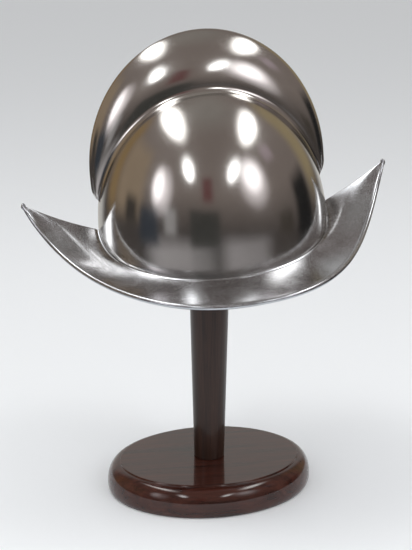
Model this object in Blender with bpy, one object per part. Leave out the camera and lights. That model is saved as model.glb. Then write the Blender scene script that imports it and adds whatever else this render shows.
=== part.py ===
"""Comb morion helmet on a plain wooden display stand.

Metres, +Z up.  The origin is the centre of the stand's underside.  X runs along
the helmet, from its front tip at -X to its back tip at +X.  The helmet is drawn
in a level frame of its own, whose Z = 0 is the height where the bowl is widest,
and is then tipped onto the stand.
"""
import math

import bmesh
import bpy
from mathutils import Matrix, Vector

# How the helmet sits on the stand.
SEAT_HEIGHT = 0.2679
SEAT_PITCH = math.radians(4.73)

SHEET = 0.0015
GAP = 0.0003

# Bowl: elliptical in plan and in cross-section, with a side profile that is a little
# fuller than an ellipse in front, and upright walls below Z = 0.
BOWL_SHIFT = 0.0034
BOWL_HALF_LENGTH = 0.1078
BOWL_HALF_WIDTH = 0.0936
BOWL_HEIGHT = 0.1340
BOWL_FRONT_PROFILE = 2.08
BOWL_BACK_PROFILE = 1.95
FAN_DEPTH = 0.060
RIM_BELOW_SEAM = 0.0035

# Seam between bowl and brim: highest at the ends, dropping towards both sides.
SEAM_END = 0.0048
SEAM_FALL = 0.0326
SEAM_SOFTNESS = 0.0112
SEAM_POWER = 0.53

# Comb: a hollow lens-shaped blade on the middle plane.  Its crest is upright below
# COMB_SPRING, and its flanks bulge most in the middle and thin out towards the ends.
COMB_HALF_LENGTH = 0.1108
COMB_SPRING = 0.0558
COMB_RISE = 0.1255
COMB_END = math.radians(48.0)
COMB_CORNER = 0.004
COMB_CORNER_ANGLE = math.radians(2.2)
COMB_END_FACE = math.radians(0.25)
COMB_BASE_HALF = 0.0262
COMB_BASE_HALF_END = 0.0042
COMB_THINNING = 1.57
COMB_FOOT_CURVE = 1.74
COMB_CREST_CURVE = 1.38
COMB_FILLET = 0.0058
COMB_FILLET_SHARE = 0.45
COMB_CREST_WALL = 0.0024
SLOT_CLOSES = math.radians(46.5)
SLOT_OPENS = math.radians(42.0)

# How finely the bowl and comb are cut into sections and the sections into points.
BOWL_STEPS = 9
FILLET_STEPS = 2
BLADE_STEPS = 7
CROWN_STEPS = FILLET_STEPS + BLADE_STEPS
COMB_SECTIONS = 26
END_SECTIONS = 7

# Brim: its rolled edge follows a pointed oval that climbs to both tips.  "plan" and
# "pinch" shape the oval, "tip" is the height of the tip, "gentle" the share of the climb
# that is gradual, and "sag" how far the sheet hangs below a straight line on the ridge.
EDGE_HALF_LENGTH = 0.1711
EDGE_HALF_WIDTH = 0.1390
EDGE_LOW = -0.0383
EDGE_GENTLE_POWER = 1.6
EDGE_STEEP_POWER = 6.0
FRONT_EDGE = {"plan": 2.43, "pinch": 1.41, "tip": 0.0363, "gentle": 0.285, "sag": 0.0021}
BACK_EDGE = {"plan": 2.90, "pinch": 1.44, "tip": 0.0369, "gentle": 0.15, "sag": 0.0012}
EDGE_RADIUS = 0.0024
EDGE_TALLEST = 1.4
EDGE_BELOW_SHEET = 0.0005
TIP_HALF_WIDTH = 0.0008
LIP_HEIGHT = 0.0011
LIP_THICKNESS = 0.0010
LIP_FILLET = 0.0030
BRIM_THICKNESS = 0.0018

# Stand: an oval base, a tapered round post and a rest that fills the bowl's crown.
BASE_HALF_LENGTH = 0.1012
BASE_HALF_WIDTH = 0.0828
BASE_HEIGHT = 0.0294
BASE_TURN = math.radians(6.0)
BASE_STEP_INSET = 0.0125
BASE_STEP = 0.0013
BASE_WIDEST = 0.0095
BASE_FOOT_INSET = 0.0035
BASE_SIDES = 48
BASE_LEDGE = 0.0006
POST_FOOT_RADIUS = 0.0148
POST_TOP_RADIUS = 0.0231
POST_SIDES = 40
REST_GAP = 0.0013
REST_RADIUS = 0.042
REST_EDGE = 0.006
REST_SIDE_HEIGHT = 0.018
REST_SIDES = 32

STEEL = (0.42, 0.40, 0.38)
SATIN_STEEL = (0.36, 0.36, 0.36)
DARK_WOOD = (0.075, 0.032, 0.024)


def clear_scene():
    for thing in list(bpy.data.objects):
        bpy.data.objects.remove(thing, do_unlink=True)


def make_material(name, colour, roughness, metallic):
    material = bpy.data.materials.new(name)
    material.use_nodes = True
    shader = material.node_tree.nodes["Principled BSDF"]
    shader.inputs["Base Color"].default_value = (*colour, 1.0)
    shader.inputs["Roughness"].default_value = roughness
    shader.inputs["Metallic"].default_value = metallic
    return material


def make_object(name, mesh_data, material, parent=None):
    """Turn a bmesh into a smooth-shaded object, and hang it on its parent."""
    bmesh.ops.recalc_face_normals(mesh_data, faces=mesh_data.faces)
    mesh = bpy.data.meshes.new(name)
    mesh_data.to_mesh(mesh)
    mesh_data.free()
    mesh.shade_smooth()
    mesh.set_sharp_from_angle(angle=math.radians(35.0))
    mesh.materials.append(material)
    thing = bpy.data.objects.new(name, mesh)
    bpy.context.scene.collection.objects.link(thing)
    thing.parent = parent
    return thing


def bridge_rings(mesh_data, rings, closed):
    """Join closed rings of equally many points; closed also joins last to first."""
    loops = [[mesh_data.verts.new(point) for point in ring] for ring in rings]
    pairs = list(zip(loops, loops[1:]))
    if closed:
        pairs.append((loops[-1], loops[0]))
    for first, second in pairs:
        for k in range(len(first)):
            j = (k + 1) % len(first)
            mesh_data.faces.new((first[k], first[j], second[j], second[k]))
    return loops


def find_root(inside, low, high, steps=40):
    """The value between low, where inside() holds, and high, where it doesn't."""
    for _ in range(steps):
        middle = 0.5 * (low + high)
        if inside(middle):
            low = middle
        else:
            high = middle
    return 0.5 * (low + high)


# ---- bowl and comb ---------------------------------------------------------

def seam_height(y):
    """Height of the seam where it passes a point; it falls fastest near both ends."""
    softened = math.hypot(y, SEAM_SOFTNESS) - SEAM_SOFTNESS
    share = softened / (math.hypot(BOWL_HALF_WIDTH, SEAM_SOFTNESS) - SEAM_SOFTNESS)
    return SEAM_END - SEAM_FALL * share ** SEAM_POWER


def inside_bowl(x, y, z, grow):
    """Whether a point lies in the bowl's form, made larger all round by grow."""
    along = abs(x - BOWL_SHIFT) / (BOWL_HALF_LENGTH + grow)
    up = max(z, 0.0) / (BOWL_HEIGHT + grow)
    across = abs(y) / (BOWL_HALF_WIDTH + grow)
    profile = BOWL_FRONT_PROFILE if x < BOWL_SHIFT else BOWL_BACK_PROFILE
    side = (along ** profile + up ** profile) ** (2.0 / profile)
    return side + across ** 2 < 1.0


def fan_point(fan, reach, y):
    """A point of the section plane that leans by fan from the upright."""
    return Vector((BOWL_SHIFT + reach * math.sin(fan), y, reach * math.cos(fan) - FAN_DEPTH))


def bowl_top(fan, grow):
    """How far from the fan's centre the bowl's own top line lies."""
    return find_root(lambda reach: inside_bowl(*fan_point(fan, reach, 0.0), grow), 0.03, 0.30)


def bowl_point(fan, spread, grow):
    """Where the bowl meets a ray in a section plane, as (reach, y).

    The ray leaves a point on the middle plane at a third of the bowl's reach.
    """
    centre = bowl_top(fan, grow) / 3.0

    def inside(distance):
        reach = centre + distance * math.cos(spread)
        return inside_bowl(*fan_point(fan, reach, distance * math.sin(spread)), grow)

    distance = find_root(inside, 0.0, 0.30)
    return centre + distance * math.cos(spread), distance * math.sin(spread)


def bowl_spread(fan, y, grow):
    """The spread of the ray that meets the upper bowl at y."""
    return math.asin(min(y / (bowl_top(fan, grow) * 2.0 / 3.0), 1.0))


def crest_reach(fan):
    """How far from the fan's centre the comb's crest lies."""

    def inside(reach):
        point = fan_point(fan, reach, 0.0)
        along = (point.x - BOWL_SHIFT) / COMB_HALF_LENGTH
        up = max(point.z - COMB_SPRING, 0.0) / COMB_RISE
        return along ** 2 + up ** 2 < 1.0

    return find_root(inside, 0.03, 0.35)


def rim_spread(fan, grow):
    """The spread at which a section reaches the bowl's lower rim."""

    def above_rim(spread):
        point = fan_point(fan, *bowl_point(fan, spread, grow))
        return point.z > seam_height(point.y) - RIM_BELOW_SEAM

    return find_root(above_rim, 0.0, 2.4)


def fan_limit(grow):
    """The lean of the last section plane, where the rim crosses the middle plane."""

    def above_rim(fan):
        return fan_point(fan, bowl_top(fan, grow), 0.0).z > SEAM_END - RIM_BELOW_SEAM

    return find_root(above_rim, 0.5, 1.5)


def smooth_step(value):
    value = min(max(value, 0.0), 1.0)
    return value * value * (3.0 - 2.0 * value)


def comb_foot_half(fan):
    """Half of the comb's thickness where it stands on the bowl."""
    lean = min(abs(fan) / COMB_END, 1.0)
    return COMB_BASE_HALF + (COMB_BASE_HALF_END - COMB_BASE_HALF) * lean ** COMB_THINNING


def blade_profile(fan, grow):
    """Half of the comb's section as (reach, y): a fillet on the bowl, then the flank."""
    foot_half = comb_foot_half(fan) + grow
    base_reach = bowl_top(fan, grow)
    crest = crest_reach(fan) - (0.0 if grow == 0.0 else COMB_CREST_WALL)
    past_corner = (abs(fan) - COMB_END + COMB_CORNER_ANGLE) / COMB_CORNER_ANGLE
    past_corner = min(max(past_corner, 0.0), 1.0)
    crest -= COMB_CORNER * (1.0 - math.sqrt(1.0 - past_corner ** 2))
    height = max(crest - base_reach, COMB_CORNER)
    fillet = min(COMB_FILLET, COMB_FILLET_SHARE * height)

    def flank(share):
        half = foot_half * (1.0 - share ** COMB_FOOT_CURVE) ** (1.0 / COMB_CREST_CURVE)
        return base_reach + height * share, half

    foot = bowl_point(fan, bowl_spread(fan, foot_half + fillet, grow), grow)
    corner = bowl_point(fan, bowl_spread(fan, foot_half, grow), grow)
    start = (corner[0] + fillet - base_reach) / height
    root = flank(start)
    profile = []
    for k in range(FILLET_STEPS):
        t = k / FILLET_STEPS
        shares = ((1.0 - t) ** 2, 2.0 * t * (1.0 - t), t ** 2)
        profile.append(tuple(shares[0] * foot[i] + shares[1] * corner[i] + shares[2] * root[i]
                             for i in range(2)))
    first = math.asin(start)
    for k in range(BLADE_STEPS + 1):
        angle = first + (0.5 * math.pi - first) * k / BLADE_STEPS
        profile.append(flank(min(math.sin(angle), 1.0)))
    return profile


def skull_half_section(fan, grow, weight, at_rim):
    """Half of a skull section, from the rim to the middle plane.

    A weight of 1 carries the comb in full, and a weight of 0 the bare bowl.  The last
    section at either end is let down the bowl's upright wall, all the way to the rim.
    """
    last = rim_spread(fan, grow)
    first = min(0.5 * last, bowl_spread(fan, comb_foot_half(fan) + COMB_FILLET, grow))
    crown = [bowl_point(fan, first * (1.0 - k / CROWN_STEPS), grow)
             for k in range(CROWN_STEPS + 1)]
    if weight > 0.0:
        blade = blade_profile(fan, grow)
        crown = [(weight * p[0] + (1.0 - weight) * q[0], weight * p[1] + (1.0 - weight) * q[1])
                 for p, q in zip(blade, crown)]
        first = math.atan2(crown[0][1], crown[0][0] - bowl_top(fan, grow) / 3.0)
    points = []
    for k in range(BOWL_STEPS):
        spread = last + (first - last) * k / BOWL_STEPS
        points.append(bowl_point(fan, spread, grow))
    section = [fan_point(fan, reach, y) for reach, y in points + crown]
    if at_rim:
        for point in section:
            point.z = seam_height(point.y) - RIM_BELOW_SEAM
    return section


def skull_ring(fan, outer_weight, inner_weight, inner_scale, at_rim):
    """One closed ring round the steel: over the outside and back along the inside."""
    ring = []
    for grow, lean, weight in ((0.0, fan, outer_weight), (-SHEET, fan * inner_scale, inner_weight)):
        half = skull_half_section(lean, grow, weight, at_rim)
        arch = [Vector((p.x, -p.y, p.z)) for p in half] + half[-2::-1]
        if grow < 0.0:
            arch.reverse()
        ring += arch
    return ring


def skull_fans():
    """Leans of the sections, closer together at the comb's rounded ends."""
    limit = fan_limit(0.0)
    start = COMB_END - COMB_CORNER_ANGLE
    fans = [start * k / (COMB_SECTIONS / 2) for k in range(COMB_SECTIONS // 2 + 1)]
    fans += [start + COMB_CORNER_ANGLE * part for part in (0.5, 0.85, 1.0)]
    bare = COMB_END + COMB_END_FACE
    fans.append(bare)
    for k in range(1, END_SECTIONS):
        fans.append(limit - (limit - bare) * (1.0 - k / END_SECTIONS) ** 2)
    fans.append(limit)
    return [-fan for fan in reversed(fans[1:])] + fans


def make_skull(parent, material):
    limit = fan_limit(0.0)
    inner_scale = fan_limit(-SHEET) / limit
    rings = []
    for fan in skull_fans():
        outer_weight = 1.0 if abs(fan) <= COMB_END + 1e-6 else 0.0
        inner_weight = smooth_step((SLOT_CLOSES - abs(fan)) / (SLOT_CLOSES - SLOT_OPENS))
        at_rim = abs(fan) > limit - 1e-6
        rings.append(skull_ring(fan, outer_weight, inner_weight, inner_scale, at_rim))
    mesh_data = bmesh.new()
    loops = bridge_rings(mesh_data, rings, closed=False)
    for loop in (loops[0], loops[-1]):
        count = len(loop)
        for k in range(count // 2 - 1):
            mesh_data.faces.new((loop[k], loop[k + 1], loop[count - 2 - k], loop[count - 1 - k]))
    return make_object("skull", mesh_data, material, parent)


# ---- brim ------------------------------------------------------------------

def edge_centre(turn):
    """The centre of the rolled edge, turn radians round from the back tip."""
    along = math.cos(turn)
    shape = FRONT_EDGE if along < 0.0 else BACK_EDGE
    width = EDGE_HALF_WIDTH * (1.0 - abs(along) ** shape["plan"]) ** shape["pinch"]
    width += TIP_HALF_WIDTH * math.sqrt(abs(math.sin(turn)))
    climb = shape["gentle"] * abs(along) ** EDGE_GENTLE_POWER
    climb += (1.0 - shape["gentle"]) * abs(along) ** EDGE_STEEP_POWER
    height = EDGE_LOW + (shape["tip"] - EDGE_LOW) * climb
    side = math.copysign(width, math.sin(turn)) if abs(math.sin(turn)) > 1e-9 else 0.0
    return Vector((EDGE_HALF_LENGTH * along, side, height))


def seam_point(turn):
    """The brim's inner edge, a small gap outside the bowl."""
    x = BOWL_SHIFT + (BOWL_HALF_LENGTH + GAP) * math.cos(turn)
    y = (BOWL_HALF_WIDTH + GAP) * math.sin(turn)
    return Vector((x, y, seam_height(y)))


def plan_normal(curve, turn):
    """The outward normal, in plan, of a curve that runs round the helmet."""
    step = math.radians(0.3)
    along = curve(turn + step) - curve(turn - step)
    normal = Vector((along.y, -along.x, 0.0))
    slope = along.z / max(math.hypot(along.x, along.y), 1e-9)
    return normal.normalized(), slope


def brim_ring(turn):
    """One closed section of the brim: lip, upper face, rolled edge and lower face."""
    seam = seam_point(turn)
    edge = edge_centre(turn)
    lip_out, _ = plan_normal(seam_point, turn)
    edge_out, slope = plan_normal(edge_centre, turn)
    tall = EDGE_RADIUS * min(math.sqrt(1.0 + slope ** 2), EDGE_TALLEST)
    up = Vector((0.0, 0.0, 1.0))
    fall = (edge.z - seam.z) / math.hypot(edge.x - seam.x, edge.y - seam.y)
    foot = seam + lip_out * LIP_FILLET + up * fall * LIP_FILLET
    sheet_end = edge + up * EDGE_BELOW_SHEET
    sag = (FRONT_EDGE if math.cos(turn) < 0.0 else BACK_EDGE)["sag"] * math.cos(turn) ** 2

    def sheet(t):
        return foot.lerp(sheet_end, t) - up * sag * 4.0 * t * (1.0 - t)

    near_edge = 1.0 - EDGE_RADIUS * 1.3 / (sheet_end - foot).length
    half = 0.5 * BRIM_THICKNESS
    ring = [seam - up * BRIM_THICKNESS,
            seam + up * LIP_HEIGHT,
            seam + up * LIP_HEIGHT * 0.9 + lip_out * LIP_THICKNESS,
            seam + up * (LIP_HEIGHT * 0.3 + fall * LIP_THICKNESS * 2) + lip_out * LIP_THICKNESS * 1.8]
    ring += [sheet(t * near_edge) + up * half for t in (0.0, 0.2, 0.45, 0.7, 1.0)]
    for k in range(5):
        angle = math.radians(90.0 - 45.0 * k)
        ring.append(edge + edge_out * EDGE_RADIUS * math.cos(angle) + up * tall * math.sin(angle))
    ring += [sheet(t * near_edge) - up * half for t in (1.0, 0.6, 0.25)]
    return ring


def brim_turns():
    quarter = [0.0, 1.5, 3.0, 5.0, 7.5, 10.0, 13.0, 16.5] + [21.0 + 5.75 * k for k in range(12)]
    half = quarter + [90.0] + [180.0 - angle for angle in reversed(quarter)]
    turns = half + [angle + 180.0 for angle in half[1:-1]]
    return [math.radians(angle) for angle in turns]


def make_brim(parent, material):
    mesh_data = bmesh.new()
    bridge_rings(mesh_data, [brim_ring(turn) for turn in brim_turns()], closed=True)
    return make_object("brim", mesh_data, material, parent)


# ---- stand -----------------------------------------------------------------

def cap_rings(mesh_data, loops):
    mesh_data.faces.new(loops[0])
    mesh_data.faces.new(loops[-1])


def base_profile():
    """(inset from the outline, height) from the foot up to the edge of the flat top."""
    points = [(BASE_FOOT_INSET, 0.0)]
    for k in range(1, 3):
        angle = 0.5 * math.pi * k / 3.0
        points.append((BASE_FOOT_INSET * (1.0 - math.sin(angle)),
                       BASE_WIDEST * 0.8 * (1.0 - math.cos(angle))))
    points.append((0.0, BASE_WIDEST * 0.8))
    shoulder = BASE_HEIGHT - BASE_STEP
    for k in range(7):
        angle = 0.5 * math.pi * k / 6.0
        points.append(((BASE_STEP_INSET - BASE_LEDGE) * (1.0 - math.cos(angle)),
                       BASE_WIDEST + (shoulder - BASE_WIDEST) * math.sin(angle)))
    points.append((BASE_STEP_INSET, BASE_HEIGHT))
    return points


def flat_ring(half_length, half_width, sides, height):
    """A level ring of points; height is a number, or a function of x and y."""
    ring = []
    for k in range(sides):
        x = half_length * math.cos(math.tau * k / sides)
        y = half_width * math.sin(math.tau * k / sides)
        ring.append((x, y, height(x, y) if callable(height) else height))
    return ring


def make_base(material):
    rings = [flat_ring(BASE_HALF_LENGTH - inset, BASE_HALF_WIDTH - inset, BASE_SIDES, height)
             for inset, height in base_profile()]
    mesh_data = bmesh.new()
    cap_rings(mesh_data, bridge_rings(mesh_data, rings, closed=False))
    base = make_object("stand_base", mesh_data, material)
    base.rotation_euler = (0.0, 0.0, BASE_TURN)
    return base


def crown_height(x, y):
    """Ground height of the bowl's inside over a point of the plan."""
    from_seat = Matrix.Rotation(SEAT_PITCH, 4, 'Y') @ Matrix.Translation((0.0, 0.0, -SEAT_HEIGHT))

    def inside(height):
        return inside_bowl(*(from_seat @ Vector((x, y, height))), -SHEET - REST_GAP)

    return find_root(inside, SEAT_HEIGHT, SEAT_HEIGHT + 0.2)


def rest_underside():
    return crown_height(-REST_RADIUS, 0.0) - REST_SIDE_HEIGHT


def make_rest(material):
    """A turned pad under the crown, its top shaped to the bowl."""
    underside = rest_underside()

    def rounded_shoulder(x, y):
        return crown_height(x, y) - 0.35 * REST_EDGE

    rings = []
    for radius, height in ((0.3, underside), (0.82, underside), (1.0, underside + REST_EDGE),
                           (1.0, rounded_shoulder), (0.9, crown_height), (0.7, crown_height),
                           (0.45, crown_height), (0.2, crown_height)):
        reach = REST_RADIUS * radius
        rings.append(flat_ring(reach, reach, REST_SIDES, height))
    mesh_data = bmesh.new()
    cap_rings(mesh_data, bridge_rings(mesh_data, rings, closed=False))
    return make_object("stand_head_rest", mesh_data, material)


def make_post(material):
    foot = BASE_HEIGHT + GAP
    top = rest_underside() - GAP
    rings = []
    for share in (0.0, 0.25, 0.5, 0.75, 1.0):
        radius = POST_FOOT_RADIUS + (POST_TOP_RADIUS - POST_FOOT_RADIUS) * share
        rings.append(flat_ring(radius, radius, POST_SIDES, foot + (top - foot) * share))
    mesh_data = bmesh.new()
    cap_rings(mesh_data, bridge_rings(mesh_data, rings, closed=False))
    return make_object("stand_post", mesh_data, material)


def main():
    clear_scene()
    polished = make_material("polished_steel", STEEL, 0.12, 1.0)
    satin = make_material("satin_steel", SATIN_STEEL, 0.28, 1.0)
    wood = make_material("dark_wood", DARK_WOOD, 0.22, 0.0)

    seat = bpy.data.objects.new("helmet_seat", None)
    bpy.context.scene.collection.objects.link(seat)
    seat.location = (0.0, 0.0, SEAT_HEIGHT)
    seat.rotation_euler = (0.0, -SEAT_PITCH, 0.0)

    make_skull(seat, polished)
    make_brim(seat, satin)
    make_base(wood)
    make_post(wood)
    make_rest(wood)


main()
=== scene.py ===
import math

import bmesh
import bpy
from mathutils import Matrix, Quaternion, Vector


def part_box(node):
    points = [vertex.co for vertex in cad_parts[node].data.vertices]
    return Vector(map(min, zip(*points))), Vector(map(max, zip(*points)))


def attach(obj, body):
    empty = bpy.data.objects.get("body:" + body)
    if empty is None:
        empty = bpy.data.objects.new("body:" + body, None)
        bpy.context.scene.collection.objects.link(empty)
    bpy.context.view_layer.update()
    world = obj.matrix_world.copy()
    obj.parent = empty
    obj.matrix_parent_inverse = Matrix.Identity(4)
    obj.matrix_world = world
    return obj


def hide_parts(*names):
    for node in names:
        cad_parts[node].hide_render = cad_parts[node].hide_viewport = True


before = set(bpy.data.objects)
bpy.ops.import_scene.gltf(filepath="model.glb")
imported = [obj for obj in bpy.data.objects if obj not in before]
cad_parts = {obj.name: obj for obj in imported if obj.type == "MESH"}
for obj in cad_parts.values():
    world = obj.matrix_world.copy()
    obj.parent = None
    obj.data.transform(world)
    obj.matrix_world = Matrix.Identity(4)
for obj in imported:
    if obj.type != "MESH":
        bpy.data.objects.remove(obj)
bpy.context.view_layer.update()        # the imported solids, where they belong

print("solids loaded:", ", ".join(sorted(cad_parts)))


# small helpers

def mixValues(a, b, share):
    return a + (b - a) * share


def softStep(value):
    value = min(max(value, 0.0), 1.0)
    return value * value * (3.0 - 2.0 * value)


def findRoot(inside, limits, steps=32):
    # the value between the lower limit, where inside() holds, and the upper, where it doesn't
    low, high = limits
    for _ in range(steps):
        middle = 0.5 * (low + high)
        if inside(middle):
            low = middle
        else:
            high = middle
    return 0.5 * (low + high)


def addMesh(name, points, faces=(), edges=()):
    mesh = bpy.data.meshes.new(name)
    mesh.from_pydata([tuple(p) for p in points], edges, faces)
    mesh.update()
    thing = bpy.data.objects.new(name, mesh)
    bpy.context.scene.collection.objects.link(thing)
    return thing


def cleanMesh(piece, closeness=1e-6, shortest=1e-7):
    data = bmesh.new()
    data.from_mesh(piece.data)
    bmesh.ops.remove_doubles(data, verts=data.verts, dist=closeness)
    bmesh.ops.dissolve_degenerate(data, edges=data.edges, dist=shortest)
    bmesh.ops.recalc_face_normals(data, faces=data.faces)
    loose = sum(1 for edge in data.edges if not edge.is_manifold)
    data.to_mesh(piece.data)
    data.free()
    print(piece.name, "open edges:", loose)


def finishPiece(piece, material, slot, *nodes, sharpAngle=38.0):
    # smooth shading with crisp edges, and the piece takes its solid's place
    mesh = piece.data
    mesh.shade_smooth()
    mesh.set_sharp_from_angle(angle=math.radians(sharpAngle))
    mesh.materials.clear()
    mesh.materials.append(material)
    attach(piece, "root")
    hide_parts(*nodes)
    print("made", piece.name, "with", len(mesh.polygons), "faces")


# materials

def feed(tree, socket, value):
    # a socket takes a link or a plain value
    if isinstance(value, bpy.types.NodeSocket):
        tree.links.new(value, socket)
    else:
        socket.default_value = value


def startMaterial(name):
    material = bpy.data.materials.new(name)
    material.use_nodes = True
    tree = material.node_tree
    coordinates = tree.nodes.new("ShaderNodeTexCoord")
    return material, tree, tree.nodes["Principled BSDF"], coordinates.outputs["Object"]


def placePattern(tree, source, scale):
    mapping = tree.nodes.new("ShaderNodeMapping")
    mapping.inputs["Scale"].default_value = scale
    tree.links.new(source, mapping.inputs["Vector"])
    return mapping.outputs["Vector"]


def addNoise(tree, source, scale, detail, roughness=0.5, distortion=0.0):
    noise = tree.nodes.new("ShaderNodeTexNoise")
    noise.inputs["Scale"].default_value = scale
    noise.inputs["Detail"].default_value = detail
    noise.inputs["Roughness"].default_value = roughness
    noise.inputs["Distortion"].default_value = distortion
    tree.links.new(source, noise.inputs["Vector"])
    return noise.outputs["Fac"]


def mapRange(tree, value, fromLow, fromHigh, toLow, toHigh):
    node = tree.nodes.new("ShaderNodeMapRange")
    node.clamp = True
    for socket, number in zip(node.inputs[1:5], (fromLow, fromHigh, toLow, toHigh)):
        socket.default_value = number
    tree.links.new(value, node.inputs[0])
    return node.outputs[0]


def mixColours(tree, share, first, second):
    node = tree.nodes.new("ShaderNodeMix")
    node.data_type = "RGBA"
    for socket, value in ((node.inputs[0], share), (node.inputs[6], first), (node.inputs[7], second)):
        feed(tree, socket, (*value, 1.0) if isinstance(value, tuple) else value)
    return node.outputs[2]


def doMath(tree, operation, first, second=0.0):
    node = tree.nodes.new("ShaderNodeMath")
    node.operation = operation
    for socket, value in zip(node.inputs, (first, second)):
        feed(tree, socket, value)
    return node.outputs[0]


def addBump(tree, height, strength, distance):
    bump = tree.nodes.new("ShaderNodeBump")
    bump.inputs["Strength"].default_value = strength
    bump.inputs["Distance"].default_value = distance
    tree.links.new(height, bump.inputs["Height"])
    return bump.outputs["Normal"]


# both steels: clouds of more and less polish, and a grain of fine scratches
steelPattern = {"cloudDetail": 4.0, "cloudRoughness": 0.6, "cloudDistortion": 0.4,
                "colourSpan": (0.30, 0.70), "polishSpan": (0.30, 0.72),
                "scratchScale": 2600.0, "scratchDetail": 2.0, "scratchFrom": 0.45}


def makeSteel(name, values):
    material, tree, shader, place = startMaterial(name)
    s = steelPattern
    clouds = addNoise(tree, place, values["cloudScale"], s["cloudDetail"], s["cloudRoughness"],
                      s["cloudDistortion"])
    scratches = addNoise(tree, place, s["scratchScale"], s["scratchDetail"])
    colour = mixColours(tree, mapRange(tree, clouds, *s["colourSpan"], 0.0, 1.0),
                        values["dark"], values["light"])
    tree.links.new(colour, shader.inputs["Base Color"])
    polish = doMath(tree, "ADD",
                    mapRange(tree, clouds, *s["polishSpan"], values["sharpest"], values["dullest"]),
                    mapRange(tree, scratches, s["scratchFrom"], values["scratchFull"],
                             0.0, values["scratchDull"]))
    tree.links.new(polish, shader.inputs["Roughness"])
    shader.inputs["Metallic"].default_value = 1.0
    tree.links.new(addBump(tree, clouds, values["bump"], values["bumpDepth"]), shader.inputs["Normal"])
    return material


# both woods: stained, with streaks and pores along the grain, under gloss varnish
woodPattern = {"streakDetail": 5.0, "streakRoughness": 0.62, "streakDistortion": 0.6,
               "colourSpan": (0.32, 0.68), "polishSpan": (0.3, 0.7),
               "poreDetail": 2.0, "poreSpan": (0.56, 0.74), "poreDepth": 0.0003, "varnishIor": 1.5}


def makeVarnishedWood(name, values):
    material, tree, shader, place = startMaterial(name)
    w = woodPattern
    streaks = addNoise(tree, placePattern(tree, place, values["grainStretch"]), values["grainScale"],
                       w["streakDetail"], w["streakRoughness"], w["streakDistortion"])
    pores = addNoise(tree, placePattern(tree, place, values["poreStretch"]), values["poreScale"],
                     w["poreDetail"])
    body = mixColours(tree, mapRange(tree, streaks, *w["colourSpan"], 0.0, 1.0),
                      values["dark"], values["light"])
    body = mixColours(tree, mapRange(tree, pores, *w["poreSpan"], 0.0, values["poreShare"]),
                      body, values["pore"])
    tree.links.new(body, shader.inputs["Base Color"])
    tree.links.new(mapRange(tree, streaks, *w["polishSpan"], values["sharpest"], values["dullest"]),
                   shader.inputs["Roughness"])
    shader.inputs["Coat Weight"].default_value = values["coat"]
    shader.inputs["Coat Roughness"].default_value = values["coatRoughness"]
    shader.inputs["IOR"].default_value = w["varnishIor"]
    shader.inputs["Specular IOR Level"].default_value = values["specular"]
    tree.links.new(addBump(tree, pores, values["bump"], w["poreDepth"]), shader.inputs["Normal"])
    return material


polishedSteel = makeSteel("polished steel", {
    "dark": (0.50, 0.485, 0.47), "light": (0.56, 0.545, 0.53),
    "sharpest": 0.08, "dullest": 0.13, "scratchDull": 0.12, "scratchFull": 0.70,
    "cloudScale": 14.0, "bump": 0.02, "bumpDepth": 0.0001})

# the blue-grey cast of the satin steel's colour is painted reflection of the pale bluish backdrop that the
# brim mirrors; the grey under it is the steel's own
satinSteel = makeSteel("satin steel", {
    "dark": (0.42, 0.435, 0.46), "light": (0.55, 0.57, 0.61),
    "sharpest": 0.08, "dullest": 0.19, "scratchDull": 0.20, "scratchFull": 0.60,
    "cloudScale": 42.0, "bump": 0.03, "bumpDepth": 0.0004})

postWood = makeVarnishedWood("varnished wood upright", {
    "dark": (0.016, 0.007, 0.005), "light": (0.040, 0.019, 0.013), "pore": (0.010, 0.005, 0.004),
    "grainStretch": (1.0, 1.0, 0.035), "grainScale": 240.0,
    "poreStretch": (1.0, 1.0, 0.05), "poreScale": 900.0, "poreShare": 0.5,
    "sharpest": 0.30, "dullest": 0.45, "specular": 0.20,
    "coat": 0.30, "coatRoughness": 0.09, "bump": 0.15})

baseWood = makeVarnishedWood("varnished wood level", {
    "dark": (0.022, 0.007, 0.005), "light": (0.060, 0.018, 0.012), "pore": (0.012, 0.005, 0.004),
    "grainStretch": (0.06, 1.0, 1.0), "grainScale": 150.0,
    "poreStretch": (0.05, 1.0, 1.0), "poreScale": 800.0, "poreShare": 0.4,
    "sharpest": 0.25, "dullest": 0.38, "specular": 0.05,
    "coat": 0.9, "coatRoughness": 0.04, "bump": 0.08})
print("materials made")


# bowl and comb, in the helmet's own level frame

seat = {"height": 0.2679, "pitch": 4.73}
seatPlace = (Matrix.Translation((0.0, 0.0, seat["height"]))
             @ Matrix.Rotation(-math.radians(seat["pitch"]), 4, "Y"))

bowl = {"shift": 0.0034, "halfLength": 0.1078, "halfWidth": 0.0936, "height": 0.1340,
        "frontProfile": 2.08, "backProfile": 1.95, "sheet": 0.0015, "rimBelowSeam": 0.0035,
        "fanDepth": 0.060, "steps": 66, "endSections": 34, "endCrowding": 1.5}

seamLine = {"end": 0.0048, "fall": 0.0326, "softness": 0.0112, "power": 0.53}

comb = {"halfLength": 0.1108, "spring": 0.0558, "rise": 0.1255, "end": math.radians(48.0),
        "corner": 0.004, "cornerAngle": math.radians(2.2), "footHalf": 0.0262,
        "footHalfEnd": 0.0042, "thinning": 1.57, "footCurve": 1.74, "crestCurve": 1.38,
        "fillet": 0.0058, "filletShare": 0.45, "crestWall": 0.0024,
        "slotCloses": math.radians(46.5), "slotOpens": math.radians(42.0),
        "roundedEnd": 0.0006, "endReach": 0.15, "endSteps": 3, "pastEnd": 1.15,
        "cornerParts": (0.2, 0.4, 0.58, 0.73, 0.85, 0.93, 0.98, 1.0),
        "sections": 96, "filletSteps": 10, "bladeSteps": 28}

# where each search for a point on the surface starts and stops: metres, or radians
search = {"fineSteps": 40, "bowlTop": (0.03, 0.30), "crest": (0.03, 0.35), "sweep": (0.0, 0.25),
          "rimSpread": (0.0, 2.4), "fanLimit": (0.5, 1.5)}


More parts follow.
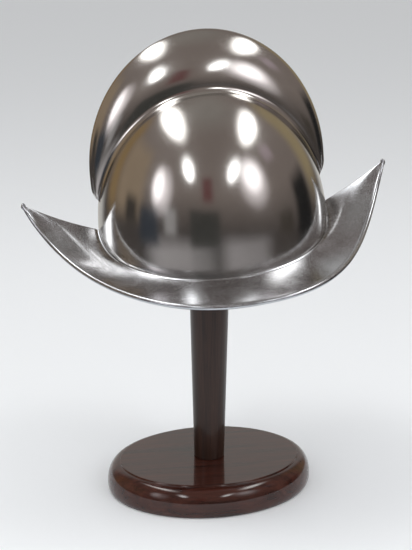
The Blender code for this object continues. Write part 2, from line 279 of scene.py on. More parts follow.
def seamHeight(y):
    soft = seamLine["softness"]
    share = (math.hypot(y, soft) - soft) / (math.hypot(bowl["halfWidth"], soft) - soft)
    return seamLine["end"] - seamLine["fall"] * share ** seamLine["power"]


def insideBowl(x, y, z, grow):
    power = bowl["frontProfile"] if x < bowl["shift"] else bowl["backProfile"]
    along = abs(x - bowl["shift"]) / (bowl["halfLength"] + grow)
    high = max(z, 0.0) / (bowl["height"] + grow)
    side = (along ** power + high ** power) ** (2.0 / power)
    return side + (y / (bowl["halfWidth"] + grow)) ** 2 < 1.0


def fanPoint(fan, reach, y):
    # sections lean about an axis below the bowl, so that they cross the comb squarely
    return Vector((bowl["shift"] + reach * math.sin(fan), y, reach * math.cos(fan) - bowl["fanDepth"]))


def bowlTop(fan, grow):
    return findRoot(lambda reach: insideBowl(*fanPoint(fan, reach, 0.0), grow),
                    search["bowlTop"], search["fineSteps"])


def bowlPoint(fan, spread, grow, top):
    # a section is swept round a point a third of the way up to its top
    centre = top / 3.0
    cosine, sine = math.cos(spread), math.sin(spread)
    distance = findRoot(lambda d: insideBowl(*fanPoint(fan, centre + d * cosine, d * sine), grow),
                        search["sweep"])
    return centre + distance * cosine, distance * sine


def spreadAt(y, top):
    return math.asin(min(y / (top * 2.0 / 3.0), 1.0))


def crestReach(fan):
    def inside(reach):
        point = fanPoint(fan, reach, 0.0)
        along = (point.x - bowl["shift"]) / comb["halfLength"]
        high = max(point.z - comb["spring"], 0.0) / comb["rise"]
        return along ** 2 + high ** 2 < 1.0
    return findRoot(inside, search["crest"], search["fineSteps"])


def combFootHalf(fan):
    lean = min(abs(fan) / comb["end"], 1.0)
    return mixValues(comb["footHalf"], comb["footHalfEnd"], lean ** comb["thinning"])


def bladeProfile(fan, grow, inset):
    # half of the comb's section: a fillet on the bowl, then the bulging flank
    top = bowlTop(fan, grow)
    footHalf = combFootHalf(fan) + grow - inset
    crest = crestReach(fan) - inset - (0.0 if grow == 0.0 else comb["crestWall"])
    pastCorner = (abs(fan) - comb["end"] + comb["cornerAngle"]) / comb["cornerAngle"]
    pastCorner = min(max(pastCorner, 0.0), 1.0)
    crest -= comb["corner"] * (1.0 - math.sqrt(1.0 - pastCorner ** 2))
    height = max(crest - top, comb["corner"])
    fillet = min(comb["fillet"], comb["filletShare"] * height)

    def flank(share):
        half = footHalf * (1.0 - share ** comb["footCurve"]) ** (1.0 / comb["crestCurve"])
        return top + height * share, half

    foot = bowlPoint(fan, spreadAt(footHalf + fillet, top), grow, top)
    corner = bowlPoint(fan, spreadAt(footHalf, top), grow, top)
    start = (corner[0] + fillet - top) / height
    root = flank(start)
    profile = []
    for k in range(comb["filletSteps"]):
        t = k / comb["filletSteps"]
        shares = ((1.0 - t) ** 2, 2.0 * t * (1.0 - t), t ** 2)
        profile.append(tuple(shares[0] * foot[i] + shares[1] * corner[i] + shares[2] * root[i]
                             for i in range(2)))
    first = math.asin(start)
    for k in range(comb["bladeSteps"] + 1):
        angle = first + (0.5 * math.pi - first) * k / comb["bladeSteps"]
        profile.append(flank(min(math.sin(angle), 1.0)))
    return profile


def rimSpread(fan, grow, top):
    def aboveRim(spread):
        point = fanPoint(fan, *bowlPoint(fan, spread, grow, top))
        return point.z > seamHeight(point.y) - bowl["rimBelowSeam"]
    return findRoot(aboveRim, search["rimSpread"])


def fanLimit(grow):
    level = seamLine["end"] - bowl["rimBelowSeam"]
    return findRoot(lambda fan: fanPoint(fan, bowlTop(fan, grow), 0.0).z > level, search["fanLimit"])


def skullHalf(fan, grow, weight, inset, atRim):
    top = bowlTop(fan, grow)
    last = rimSpread(fan, grow, top)
    crownSteps = comb["filletSteps"] + comb["bladeSteps"]
    first = min(0.5 * last, spreadAt(combFootHalf(fan) + comb["fillet"], top))
    crown = [bowlPoint(fan, first * (1.0 - k / crownSteps), grow, top) for k in range(crownSteps + 1)]
    if weight > 0.0:
        blade = bladeProfile(fan, grow, inset)
        crown = [(mixValues(q[0], p[0], weight), mixValues(q[1], p[1], weight))
                 for p, q in zip(blade, crown)]
        first = math.atan2(crown[0][1], crown[0][0] - top / 3.0)
    side = [bowlPoint(fan, last + (first - last) * k / bowl["steps"], grow, top)
            for k in range(bowl["steps"])]
    section = [fanPoint(fan, reach, y) for reach, y in side + crown]
    if atRim:
        # the last section is let down the upright wall to the rim
        for point in section:
            point.z = seamHeight(point.y) - bowl["rimBelowSeam"]
    return section


def skullSections():
    # (lean, share of the comb, how far the comb's edges are rounded off)
    limit = fanLimit(0.0)
    start = comb["end"] - comb["cornerAngle"]
    half = comb["sections"] // 2
    rows = [(start * k / half, 1.0, 0.0) for k in range(half + 1)]
    rows += [(start + comb["cornerAngle"] * part, 1.0, 0.0) for part in comb["cornerParts"]]
    turn = comb["roundedEnd"] / comb["endReach"]
    for k in range(1, comb["endSteps"] + 1):
        angle = 0.5 * math.pi * k / comb["endSteps"]
        rows.append((comb["end"] + turn * math.sin(angle), 1.0,
                     comb["roundedEnd"] * (1.0 - math.cos(angle))))
    bare = comb["end"] + turn * comb["pastEnd"]
    rows.append((bare, 0.0, 0.0))
    for k in range(1, bowl["endSections"]):
        left = (1.0 - k / bowl["endSections"]) ** bowl["endCrowding"]
        rows.append((limit - (limit - bare) * left, 0.0, 0.0))
    rows.append((limit, 0.0, 0.0))
    return [(-fan, weight, inset) for fan, weight, inset in reversed(rows[1:])] + rows


def makeSkull():
    limit = fanLimit(0.0)
    innerScale = fanLimit(-bowl["sheet"]) / limit
    rings = []
    for fan, weight, inset in skullSections():
        inner = fan * innerScale
        slot = softStep((comb["slotCloses"] - abs(fan)) / (comb["slotCloses"] - comb["slotOpens"]))
        atRim = abs(fan) > limit - 1e-6
        outside = skullHalf(fan, 0.0, weight, inset, atRim)
        inside = skullHalf(inner, -bowl["sheet"], slot, 0.0, atRim)
        ring = [Vector((p.x, -p.y, p.z)) for p in outside] + outside[-2::-1]
        ring += inside + [Vector((p.x, -p.y, p.z)) for p in inside[-2::-1]]
        rings.append(ring)
    count = len(rings[0])
    points = [seatPlace @ p for ring in rings for p in ring]
    faces = []
    for i in range(len(rings) - 1):
        for k in range(count):
            j = (k + 1) % count
            faces.append((i * count + k, i * count + j, (i + 1) * count + j, (i + 1) * count + k))
    for first in (0, (len(rings) - 1) * count):
        for k in range(count // 2 - 1):
            faces.append((first + k, first + k + 1, first + count - 2 - k, first + count - 1 - k))
    piece = addMesh("helmet_skull", points, faces)
    cleanMesh(piece)
    return piece


finishPiece(makeSkull(), polishedSteel, "polished_steel", "skull")


# helpers that build geometry nodes trees

def startTree(name, inputs):
    tree = bpy.data.node_groups.new(name, "GeometryNodeTree")
    for label, kind, value in inputs:
        socket = tree.interface.new_socket(name=label, in_out="INPUT", socket_type=kind)
        if value is not None:
            socket.default_value = value
    tree.interface.new_socket(name="Geometry", in_out="OUTPUT", socket_type="NodeSocketGeometry")
    given = tree.nodes.new("NodeGroupInput")
    return tree, given.outputs


def addNode(tree, kind, settings=(), **links):
    node = tree.nodes.new(kind)
    for key, value in dict(settings).items():
        setattr(node, key, value)
    for key, value in links.items():
        feed(tree, node.inputs[int(key[1:]) if key[1:].isdigit() else key.replace("_", " ")], value)
    return node


def vectorMath(tree, operation, *values):
    node = addNode(tree, "ShaderNodeVectorMath", {"operation": operation})
    for socket, value in zip([s for s in node.inputs if s.enabled], values):
        feed(tree, socket, value)
    return node.outputs["Value" if operation in ("DOT_PRODUCT", "LENGTH") else "Vector"]


def scaled(tree, vector, amount):
    node = addNode(tree, "ShaderNodeVectorMath", {"operation": "SCALE"}, i0=vector, Scale=amount)
    return node.outputs["Vector"]


def splitVector(tree, vector):
    return addNode(tree, "ShaderNodeSeparateXYZ", i0=vector).outputs


def sampleGuide(tree, guide, attribute, index):
    named = addNode(tree, "GeometryNodeInputNamedAttribute", {"data_type": "FLOAT_VECTOR"}, Name=attribute)
    sample = addNode(tree, "GeometryNodeSampleIndex", {"data_type": "FLOAT_VECTOR", "domain": "POINT"},
                     Geometry=guide, Value=named.outputs[0], Index=index)
    return sample.outputs[0]


def gridPlaces(tree, columns, rows):
    # a grid one row and column over size, whose last ones fall on the first
    grid = addNode(tree, "GeometryNodeMeshGrid", Vertices_X=doMath(tree, "ADD", columns, 1.0),
                   Vertices_Y=doMath(tree, "ADD", rows, 1.0))
    index = addNode(tree, "GeometryNodeInputIndex").outputs[0]
    high = doMath(tree, "ADD", rows, 1.0)
    column = doMath(tree, "FLOOR", doMath(tree, "DIVIDE", doMath(tree, "ADD", index, 0.5), high))
    row = doMath(tree, "SUBTRACT", index, doMath(tree, "MULTIPLY", column, high))
    return grid.outputs["Mesh"], column, row


def endTree(tree, mesh, place, material, closeness=1e-6):
    placed = addNode(tree, "GeometryNodeSetPosition", Geometry=mesh, Position=place)
    merged = addNode(tree, "GeometryNodeMergeByDistance", Geometry=placed.outputs[0], Distance=closeness)
    real = addNode(tree, "GeometryNodeRealizeInstances", Geometry=merged.outputs[0])
    finish = addNode(tree, "GeometryNodeSetMaterial", Geometry=real.outputs[0], Material=material)
    out = tree.nodes.new("NodeGroupOutput")
    tree.links.new(finish.outputs[0], out.inputs[0])


def growPiece(name, tree, values):
    # run a tree on an empty mesh, and keep the result as a plain mesh
    host = addMesh(name + "_host", [(0.0, 0.0, 0.0)])
    modifier = host.modifiers.new("form", "NODES")
    modifier.node_group = tree
    ids = {item.name: item.identifier for item in tree.interface.items_tree if item.in_out == "INPUT"}
    for label, value in values.items():
        modifier[ids[label]] = value
    bpy.context.view_layer.update()
    evaluated = host.evaluated_get(bpy.context.evaluated_depsgraph_get())
    mesh = bpy.data.meshes.new_from_object(evaluated)
    host.modifiers.remove(modifier)
    bpy.data.objects.remove(host)
    mesh.name = name
    piece = bpy.data.objects.new(name, mesh)
    bpy.context.scene.collection.objects.link(piece)
    cleanMesh(piece)
    return piece


def addGuide(name, points, attributes):
    # a row of points that carries vectors for a tree to read
    guide = addMesh(name, points)
    for label, vectors in attributes.items():
        layer = guide.data.attributes.new(label, "FLOAT_VECTOR", "POINT")
        for item, vector in zip(layer.data, vectors):
            item.vector = vector
    guide.hide_render = True
    return guide


# brim: one section carried round two paths, the seam and the outer edge

brim = {"halfLength": 0.1711, "halfWidth": 0.1390, "low": -0.0383,
        "gentlePower": 1.6, "steepPower": 6.0,
        "front": {"plan": 2.43, "pinch": 1.41, "tip": 0.0363, "gentle": 0.285, "sag": 0.0021},
        "back": {"plan": 2.90, "pinch": 1.44, "tip": 0.0369, "gentle": 0.15, "sag": 0.0012},
        "sideSag": 0.0012, "tipHalfWidth": 0.0008, "gap": 0.0003, "columns": 420,
        "tipCrowding": 0.42}

brimSection = {"roll": 0.0024, "tallest": 1.4, "belowSheet": 0.0005,
               "lip": 0.0011, "lipThickness": 0.0010, "fillet": 0.0030, "thickness": 0.0018,
               "sheetSteps": 34, "rollSteps": 22, "lowerSteps": 16}

# the lip's section, point by point: out and along the brim's fall (first and third) in lip
# thicknesses, up (second) in lip heights
lipShape = ((0.0, 0.85, 0.0), (0.2, 1.0, 0.0), (0.6, 1.0, 0.0),
            (1.0, 0.8, 0.0), (1.25, 0.55, 1.0), (1.7, 0.4, 2.0))

tiny = 1e-9


def edgePoint(turn):
    along = math.cos(turn)
    shape = brim["front"] if along < 0.0 else brim["back"]
    width = brim["halfWidth"] * (1.0 - abs(along) ** shape["plan"]) ** shape["pinch"]
    width += brim["tipHalfWidth"] * math.sqrt(abs(math.sin(turn)))
    climb = shape["gentle"] * abs(along) ** brim["gentlePower"]
    climb += (1.0 - shape["gentle"]) * abs(along) ** brim["steepPower"]
    side = math.copysign(width, math.sin(turn)) if abs(math.sin(turn)) > tiny else 0.0
    return Vector((brim["halfLength"] * along, side, mixValues(brim["low"], shape["tip"], climb)))


def seamPoint(turn):
    x = bowl["shift"] + (bowl["halfLength"] + brim["gap"]) * math.cos(turn)
    y = (bowl["halfWidth"] + brim["gap"]) * math.sin(turn)
    return Vector((x, y, seamHeight(y)))


def planNormal(path, turn, step=math.radians(0.3)):
    along = path(turn + step) - path(turn - step)
    slope = along.z / max(math.hypot(along.x, along.y), tiny)
    return Vector((along.y, -along.x, 0.0)).normalized(), slope


def brimPaths():
    edges, seams, edgeOuts, seamOuts, measures = [], [], [], [], []
    for k in range(brim["columns"]):
        even = math.tau * k / brim["columns"]
        turn = even - brim["tipCrowding"] * math.sin(2.0 * even)      # closer together at the tips
        edge, seam = edgePoint(turn), seamPoint(turn)
        edgeOut, slope = planNormal(edgePoint, turn)
        seamOut, _ = planNormal(seamPoint, turn)
        tall = min(math.sqrt(1.0 + slope ** 2), brimSection["tallest"])
        fall = (edge.z - seam.z) / math.hypot(edge.x - seam.x, edge.y - seam.y)
        edges.append(edge)
        seams.append(seam)
        edgeOuts.append(edgeOut)
        seamOuts.append(seamOut)
        sag = brim["front" if math.cos(turn) < 0.0 else "back"]["sag"]
        measures.append((tall, fall, mixValues(brim["sideSag"], sag, math.cos(turn) ** 2)))
    return addGuide("brim_paths", edges, {"seamAt": seams, "edgeOut": edgeOuts, "seamOut": seamOuts,
                                          "measures": measures})


def brimOutline():
    # each point of the section: what it hangs on (seam, sheet, edge), then how far it
    # stands off (out from the seam, up, up with the fall), then its place on the roll
    # (out, up) and its share of the way across the sheet
    s = brimSection
    half = 0.5 * s["thickness"]
    rows = [((1, 0, 0), (0.0, -s["thickness"], 0.0), (0, 0, 0))]
    for out, rise, fall in lipShape:
        stand = (s["lipThickness"] * out, s["lip"] * rise, s["lipThickness"] * fall)
        rows.append(((1, 0, 0), stand, (0, 0, 0)))
    meets = math.asin((half + s["belowSheet"]) / s["roll"])
    for k in range(s["sheetSteps"] + 1):
        rows.append(((0, 1, 0), (0.0, half, 0.0), (0, 0, k / s["sheetSteps"])))
    low = math.pi + math.asin(max(half - s["belowSheet"], 0.0) / s["roll"])
    start = math.pi - meets
    for k in range(s["rollSteps"] + 1):
        angle = start - (start + math.tau - low) * k / s["rollSteps"]
        rows.append(((0, 0, 1), (0, 0, 0), (math.cos(angle), math.sin(angle), 0)))
    for k in range(s["lowerSteps"], 0, -1):
        rows.append(((0, 1, 0), (0.0, -half, 0.0), (0, 0, k / s["lowerSteps"])))
    hangs, stands, rolls = zip(*rows)
    # the guide's own points only have to be there: the tree reads what they carry
    return addGuide("brim_section", [(0.0, 0.0, 0.001 * k) for k in range(len(rows))],
                    {"hangsOn": hangs, "standsOff": stands, "onRoll": rolls}), len(rows)


def brimTree():
    s = brimSection
    tree, given = startTree("Brim round two paths", [
        ("Paths", "NodeSocketObject", None), ("Section", "NodeSocketObject", None),
        ("Columns", "NodeSocketInt", brim["columns"]), ("Rows", "NodeSocketInt", 80),
        ("Roll Radius", "NodeSocketFloat", s["roll"]), ("Below Sheet", "NodeSocketFloat", s["belowSheet"]),
        ("Fillet", "NodeSocketFloat", s["fillet"]),
        ("Material", "NodeSocketMaterial", None)])
    paths = addNode(tree, "GeometryNodeObjectInfo", Object=given["Paths"]).outputs["Geometry"]
    section = addNode(tree, "GeometryNodeObjectInfo", Object=given["Section"]).outputs["Geometry"]
    mesh, column, row = gridPlaces(tree, given["Columns"], given["Rows"])
    column = doMath(tree, "MODULO", column, given["Columns"])
    row = doMath(tree, "MODULO", row, given["Rows"])
    edge = sampleGuide(tree, paths, "position", column)
    seam = sampleGuide(tree, paths, "seamAt", column)
    edgeOut = sampleGuide(tree, paths, "edgeOut", column)
    seamOut = sampleGuide(tree, paths, "seamOut", column)
    tall, fall, sag = splitVector(tree, sampleGuide(tree, paths, "measures", column))
    onSeam, onSheet, onEdge = splitVector(tree, sampleGuide(tree, section, "hangsOn", row))
    out, rise, riseWithFall = splitVector(tree, sampleGuide(tree, section, "standsOff", row))
    rollOut, rollUp, share = splitVector(tree, sampleGuide(tree, section, "onRoll", row))

    def upward(amount):
        return scaled(tree, (0.0, 0.0, 1.0), amount)

    def total(*vectors):
        result = vectors[0]
        for vector in vectors[1:]:
            result = vectorMath(tree, "ADD", result, vector)
        return result

    foot = total(seam, scaled(tree, seamOut, given["Fillet"]),
                 upward(doMath(tree, "MULTIPLY", fall, given["Fillet"])))
    sheetEnd = total(edge, upward(given["Below Sheet"]))
    across = vectorMath(tree, "SUBTRACT", sheetEnd, foot)
    length = vectorMath(tree, "LENGTH", across)
    reach = doMath(tree, "SUBTRACT", 1.0, doMath(tree, "DIVIDE", given["Roll Radius"], length))
    share = doMath(tree, "MULTIPLY", share, reach)
    bowed = doMath(tree, "MULTIPLY", share, doMath(tree, "SUBTRACT", 1.0, share))
    bowed = doMath(tree, "MULTIPLY", bowed, -4.0)      # a curve that is one low in the middle
    sag = doMath(tree, "MULTIPLY", bowed, sag)
    sheet = total(foot, scaled(tree, across, share), upward(sag))
    rollUp = doMath(tree, "MULTIPLY", doMath(tree, "MULTIPLY", rollUp, tall), given["Roll Radius"])
    place = total(
        scaled(tree, seam, onSeam), scaled(tree, sheet, onSheet), scaled(tree, edge, onEdge),
        scaled(tree, seamOut, out),
        scaled(tree, edgeOut, doMath(tree, "MULTIPLY", rollOut, given["Roll Radius"])),
        upward(rise), upward(rollUp), upward(doMath(tree, "MULTIPLY", riseWithFall, fall)))
    endTree(tree, mesh, place, given["Material"])
    return tree


def makeBrim():
    paths = brimPaths()
    section, rows = brimOutline()
    piece = growPiece("helmet_brim", brimTree(), {
        "Paths": paths, "Section": section, "Columns": brim["columns"], "Rows": rows,
        "Roll Radius": brimSection["roll"], "Below Sheet": brimSection["belowSheet"],
        "Fillet": brimSection["fillet"], "Material": satinSteel})
    piece.data.transform(seatPlace)
    for guide in (paths, section):
        bpy.data.objects.remove(guide)
    return piece


finishPiece(makeBrim(), satinSteel, "satin_steel", "brim")


# stand: turned pieces from one tree

standBase = {"halfLength": 0.1012, "halfWidth": 0.0828, "height": 0.0294, "turn": 6.0,
             "stepInset": 0.0125, "step": 0.0013, "widest": 0.0095, "footInset": 0.0035,
             "footShare": 0.8, "ledge": 0.0006, "round": 0.0004, "stepLean": 0.0001,
             "footBand": 0.0006, "topBand": 0.0005, "sides": 240,
             "underRings": 4, "footSteps": 7, "flankSteps": 24, "roundSteps": 5, "topRings": 8}
standPost = {"footRadius": 0.0148, "topRadius": 0.0231, "endBand": 0.0006, "endGap": 0.0005,
             "steps": 24, "sides": 128}


def baseOutline():
    # (inset, share of the way out, height) from the middle of the underside to the top
    b = standBase
    rows = [(b["footInset"], k / b["underRings"], 0.0) for k in range(b["underRings"])]
    rows.append((b["footInset"] + b["footBand"], 1.0, 0.0))
    foot = b["widest"] * b["footShare"]
    for k in range(1, b["footSteps"]):
        angle = 0.5 * math.pi * k / b["footSteps"]
        rows.append((b["footInset"] * (1.0 - math.sin(angle)), 1.0, foot * (1.0 - math.cos(angle))))
    rows.append((0.0, 1.0, foot))
    shoulder = b["height"] - b["step"]
    for k in range(b["flankSteps"] + 1):
        angle = 0.5 * math.pi * k / b["flankSteps"]
        rows.append(((b["stepInset"] - b["ledge"]) * (1.0 - math.cos(angle)), 1.0,
                     b["widest"] + (shoulder - b["widest"]) * math.sin(angle)))
    for k in range(b["roundSteps"] + 1):
        angle = 0.5 * math.pi * k / b["roundSteps"]
        rows.append((b["stepInset"] - b["stepLean"] + b["round"] * (1.0 - math.cos(angle)), 1.0,
                     b["height"] - b["round"] * (1.0 - math.sin(angle))))
    rows += [(b["stepInset"] + b["round"] + b["topBand"], k / b["topRings"], b["height"])
             for k in range(b["topRings"], -1, -1)]
    return rows


def postOutline():
    low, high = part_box("stand_post")
    p = standPost
    widening = p["footRadius"] - p["topRadius"]      # an inset below nought stands outwards
    rows = [(0.0, 0.0, low.z), (0.0, 0.5, low.z), (p["endBand"], 1.0, low.z)]
    for k in range(p["steps"] + 1):
        share = k / p["steps"]
        rows.append((widening * share, 1.0,
                     mixValues(low.z + p["endGap"], high.z - p["endGap"], share)))
    rows += [(widening + p["endBand"], 1.0, high.z), (0.0, 0.5, high.z), (0.0, 0.0, high.z)]
    return rows


def turnedTree():
    tree, given = startTree("Turned wood", [
        ("Outline", "NodeSocketObject", None),
        ("Sides", "NodeSocketInt", 96), ("Rows", "NodeSocketInt", 40),
        ("Half Length", "NodeSocketFloat", 0.1), ("Half Width", "NodeSocketFloat", 0.08),
        ("Turn", "NodeSocketFloat", 0.0), ("Material", "NodeSocketMaterial", None)])
    outline = addNode(tree, "GeometryNodeObjectInfo", Object=given["Outline"]).outputs["Geometry"]
    mesh, column, row = gridPlaces(tree, given["Sides"], doMath(tree, "SUBTRACT", given["Rows"], 1.0))
    angle = doMath(tree, "DIVIDE", doMath(tree, "MULTIPLY", column, math.tau), given["Sides"])
    inset, share, height = splitVector(tree, sampleGuide(tree, outline, "position", row))

    def outwards(half, wave):
        radius = doMath(tree, "MULTIPLY", doMath(tree, "SUBTRACT", half, inset), share)
        return doMath(tree, "MULTIPLY", radius, doMath(tree, wave, angle))

    x = outwards(given["Half Length"], "COSINE")
    y = outwards(given["Half Width"], "SINE")
    place = addNode(tree, "ShaderNodeCombineXYZ", X=x, Y=y, Z=height).outputs[0]
    turned = addNode(tree, "ShaderNodeVectorRotate", {"rotation_type": "Z_AXIS"},
                     Vector=place, Angle=given["Turn"])
    endTree(tree, mesh, turned.outputs[0], given["Material"])
    return tree


def makeTurned(name, tree, rows, sides, halfLength, halfWidth, turn, material):
    outline = addMesh(name + "_outline", rows)
    piece = growPiece(name, tree, {
        "Outline": outline, "Sides": sides, "Rows": len(rows), "Half Length": halfLength,
        "Half Width": halfWidth, "Turn": turn, "Material": material})
    bpy.data.objects.remove(outline)
    return piece


turned = turnedTree()
finishPiece(makeTurned("stand_oval_base", turned, baseOutline(), standBase["sides"],
                       standBase["halfLength"], standBase["halfWidth"],
                       math.radians(standBase["turn"]), baseWood),
            baseWood, "dark_wood", "stand_base", sharpAngle=30.0)
finishPiece(makeTurned("stand_round_post", turned, postOutline(), standPost["sides"],
                       standPost["footRadius"], standPost["footRadius"], 0.0, postWood),
            postWood, "dark_wood", "stand_post")

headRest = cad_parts["stand_head_rest"]
headRest.data.materials.clear()
headRest.data.materials.append(postWood)


# floor, lights and camera

floorLook = {"nearRadius": 0.60, "farRadius": 9.0, "sides": 96,
             "colour": (0.86, 0.875, 0.895), "roughness": 0.6}


def makeFloor():
    # the far ring is left out of reflections, so that polished steel keeps its contrast
    f = floorLook
    count = f["sides"]
    angles = [math.tau * k / count for k in range(count)]
    rings = [[(radius * math.cos(angle), radius * math.sin(angle), 0.0) for angle in angles]
             for radius in (f["nearRadius"], f["farRadius"])]
    material, _, shader, _ = startMaterial("pale floor")
    shader.inputs["Base Color"].default_value = (*f["colour"], 1.0)
    shader.inputs["Roughness"].default_value = f["roughness"]
    near = addMesh("floor_near", rings[0], [tuple(range(count))])
    far = addMesh("floor_far", rings[0] + rings[1],
                  [(k, (k + 1) % count, count + (k + 1) % count, count + k) for k in range(count)])
    far.visible_glossy = False
    for floor in (near, far):
        floor.data.materials.append(material)


# what the steel mirrors: a taupe room, with softer and darker places round it
roomLook = {"pale": (0.74, 0.745, 0.75), "fill": 0.87,
            "ceiling": (0.25, 0.21, 0.19), "low": (0.080, 0.070, 0.065),
            "lowEnds": -9.0, "ceilingStarts": 15.0,
            "zenith": (0.30, 0.275, 0.25), "zenithFrom": (58.0, 80.0)}

# its places: azimuth from, to, elevation from, to and soft edge in degrees, then colour
roomPlaces = [
    (-66.0, -2.0, -98.0, -17.0, 15.0, (0.57, 0.55, 0.56)),
    (5.0, 46.0, -98.0, -13.5, 13.0, (0.52, 0.50, 0.51)),
    (138.0, 215.0, -30.0, 45.0, 14.0, (0.62, 0.61, 0.58)),
    (109.0, 132.0, 0.0, 44.0, 12.0, (0.37, 0.30, 0.18)),
    (-132.0, -113.0, -8.0, 42.0, 12.0, (0.32, 0.22, 0.11)),
    (-112.0, -74.0, -6.0, 34.0, 10.0, (0.36, 0.28, 0.20)),
    (80.0, 103.0, -14.0, 13.0, 7.0, (0.02, 0.02, 0.02)),
    (-96.0, -80.0, -10.0, 4.0, 6.0, (0.055, 0.05, 0.045)),
    (-76.0, -55.0, -18.0, 2.0, 6.0, (0.045, 0.055, 0.07)),
    (-48.0, -37.0, -11.0, 4.0, 4.0, (0.42, 0.41, 0.41)),
    (-12.0, -3.0, 11.0, 26.0, 4.0, (0.16, 0.06, 0.06)),
    (-24.0, 2.0, -17.6, 5.0, 4.0, (0.060, 0.060, 0.055)),
    (57.0, 73.0, -10.0, 1.0, 5.0, (0.07, 0.06, 0.05)),
    (60.0, 74.0, 29.0, 38.0, 5.0, (0.46, 0.38, 0.41)),
]


def makeWorld():
    world = bpy.data.worlds.new("studio")
    bpy.context.scene.world = world
    world.use_nodes = True
    tree = world.node_tree
    background = tree.nodes["Background"]
    direction = tree.nodes.new("ShaderNodeTexCoord").outputs["Generated"]
    split = tree.nodes.new("ShaderNodeSeparateXYZ")
    tree.links.new(direction, split.inputs[0])
    x, y, z = split.outputs
    elevation = doMath(tree, "DEGREES", doMath(tree, "ARCSINE", z))
    azimuth = doMath(tree, "DEGREES", doMath(tree, "ARCTAN2", x, doMath(tree, "MULTIPLY", y, -1.0)))

    def within(value, low, high, soft):
        # one between low and high, fading to nought over a soft edge
        half = 0.5 * soft
        return doMath(tree, "MULTIPLY", mapRange(tree, value, low - half, low + half, 0.0, 1.0),
                      mapRange(tree, value, high - half, high + half, 1.0, 0.0))

    r = roomLook
    room = mixColours(tree, mapRange(tree, elevation, r["lowEnds"], r["ceilingStarts"], 0.0, 1.0),
                      r["low"], r["ceiling"])
    room = mixColours(tree, mapRange(tree, elevation, *r["zenithFrom"], 0.0, 1.0), room, r["zenith"])
    for left, right, low, high, soft, colour in roomPlaces:
        across = within(azimuth, left, right, soft)
        if right > 180.0:      # the part past the back comes round to negative azimuths
            across = doMath(tree, "MAXIMUM", across, within(azimuth, left - 360.0, right - 360.0, soft))
        share = doMath(tree, "MULTIPLY", across, within(elevation, low, high, soft))
        room = mixColours(tree, share, room, colour)
    path = tree.nodes.new("ShaderNodeLightPath")
    fill = tuple(part * r["fill"] for part in r["pale"])
    plain = mixColours(tree, path.outputs["Is Camera Ray"], fill, r["pale"])
    tree.links.new(mixColours(tree, path.outputs["Is Glossy Ray"], plain, room), background.inputs["Color"])


# how a light fades: over which share of it from its edge inwards, and how steeply
lightFade = {"share": 0.75, "ceiling": 2.0, "window": 1.0}
lightsAimAt = Vector((0.0, 0.0, 0.25))
down = Vector((0.0, 0.0, -1.0))

# soft lights: middle, the way that they face if not at the object, turn, size, radiance, colour
studioLights = {
    "ceiling left": ((-0.80, -0.06, 1.75), down, 0.0, (0.78, 2.15), 9.0, (1.0, 1.0, 0.98)),
    "ceiling right": ((1.03, -0.41, 1.75), down, 0.0, (0.82, 1.85), 9.0, (1.0, 1.0, 0.98)),
    "ceiling front left": ((-1.16, -2.36, 1.75), down, -16.0, (0.72, 2.50), 9.0, (0.98, 1.0, 1.0)),
    "ceiling front right": ((0.85, -2.60, 1.75), down, 0.0, (0.74, 2.40), 9.0, (0.98, 1.0, 1.0)),
    "window left": ((-1.57, -1.23, 0.80), None, 0.0, (0.92, 1.30), 1.25, (1.0, 0.96, 1.0)),
    "window left pane": ((-1.68, -1.09, 0.90), None, 0.0, (0.56, 1.05), 2.00, (1.0, 0.98, 1.0)),
    "window right": ((1.13, -1.50, 1.03), None, 0.0, (1.15, 1.30), 1.10, (1.0, 0.96, 1.0)),
    "window right pane": ((1.12, -1.49, 1.15), None, 0.0, (0.86, 0.88), 1.80, (1.0, 0.98, 1.0)),
}


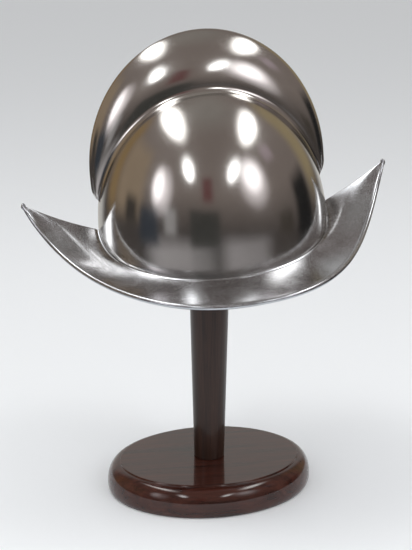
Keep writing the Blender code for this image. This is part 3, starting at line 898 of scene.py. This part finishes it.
def fadeOutwards(data, steepness):
    # full in the middle of the light, fading to nought at its edge
    data.use_nodes = True
    tree = data.node_tree
    split = tree.nodes.new("ShaderNodeSeparateXYZ")
    tree.links.new(tree.nodes.new("ShaderNodeNewGeometry").outputs["Parametric"], split.inputs[0])
    across, along, _ = split.outputs
    offsets = [doMath(tree, "ABSOLUTE", doMath(tree, "SUBTRACT", place, 0.5)) for place in (across, along)]
    squares = [doMath(tree, "POWER", offset, 2.0) for offset in offsets]
    reach = doMath(tree, "SQRT", doMath(tree, "ADD", *squares))
    fade = mapRange(tree, reach, 0.5 * (1.0 - lightFade["share"]), 0.5, 1.0, 0.0)
    tree.links.new(doMath(tree, "POWER", fade, steepness), tree.nodes["Emission"].inputs["Strength"])


def makeLights():
    for name, (middle, facing, turn, size, radiance, colour) in studioLights.items():
        middle = Vector(middle)
        steepness = lightFade["ceiling" if facing else "window"]
        facing = facing or lightsAimAt - middle
        data = bpy.data.lights.new(name, "AREA")
        data.shape = "ELLIPSE"
        data.size, data.size_y = size
        data.energy = radiance * math.pi * 0.25 * math.pi * size[0] * size[1]      # over the oval's area
        data.color = colour
        fadeOutwards(data, steepness)
        light = bpy.data.objects.new(name, data)
        light.location = middle
        light.rotation_mode = "QUATERNION"
        light.rotation_quaternion = (-facing).to_track_quat("Z", "Y")
        light.rotation_quaternion @= Quaternion((0.0, 0.0, 1.0), math.radians(turn))
        light.visible_camera = False
        bpy.context.scene.collection.objects.link(light)


cameraView = {"azimuth": -10.0, "elevation": 17.0, "distance": 1.4, "lens": 96.1, "sensor": 36.0,
              "aimHeight": 0.2152, "aimAside": -0.0031}


def makeCamera():
    c = cameraView
    a, e = math.radians(c["azimuth"]), math.radians(c["elevation"])
    back = Vector((math.sin(a) * math.cos(e), -math.cos(a) * math.cos(e), math.sin(e)))
    right = Vector((math.cos(a), math.sin(a), 0.0))
    data = bpy.data.cameras.new("camera")
    data.lens = c["lens"]
    data.sensor_width = c["sensor"]
    camera = bpy.data.objects.new("camera", data)
    aim = Vector((0.0, 0.0, c["aimHeight"]))
    camera.location = aim + right * c["aimAside"] + back * c["distance"]
    camera.rotation_mode = "QUATERNION"
    camera.rotation_quaternion = back.to_track_quat("Z", "Y")
    bpy.context.scene.collection.objects.link(camera)
    bpy.context.scene.camera = camera


makeFloor()
makeWorld()
makeLights()
makeCamera()
bpy.context.scene.view_settings.view_transform = "Standard"
print("stage set")
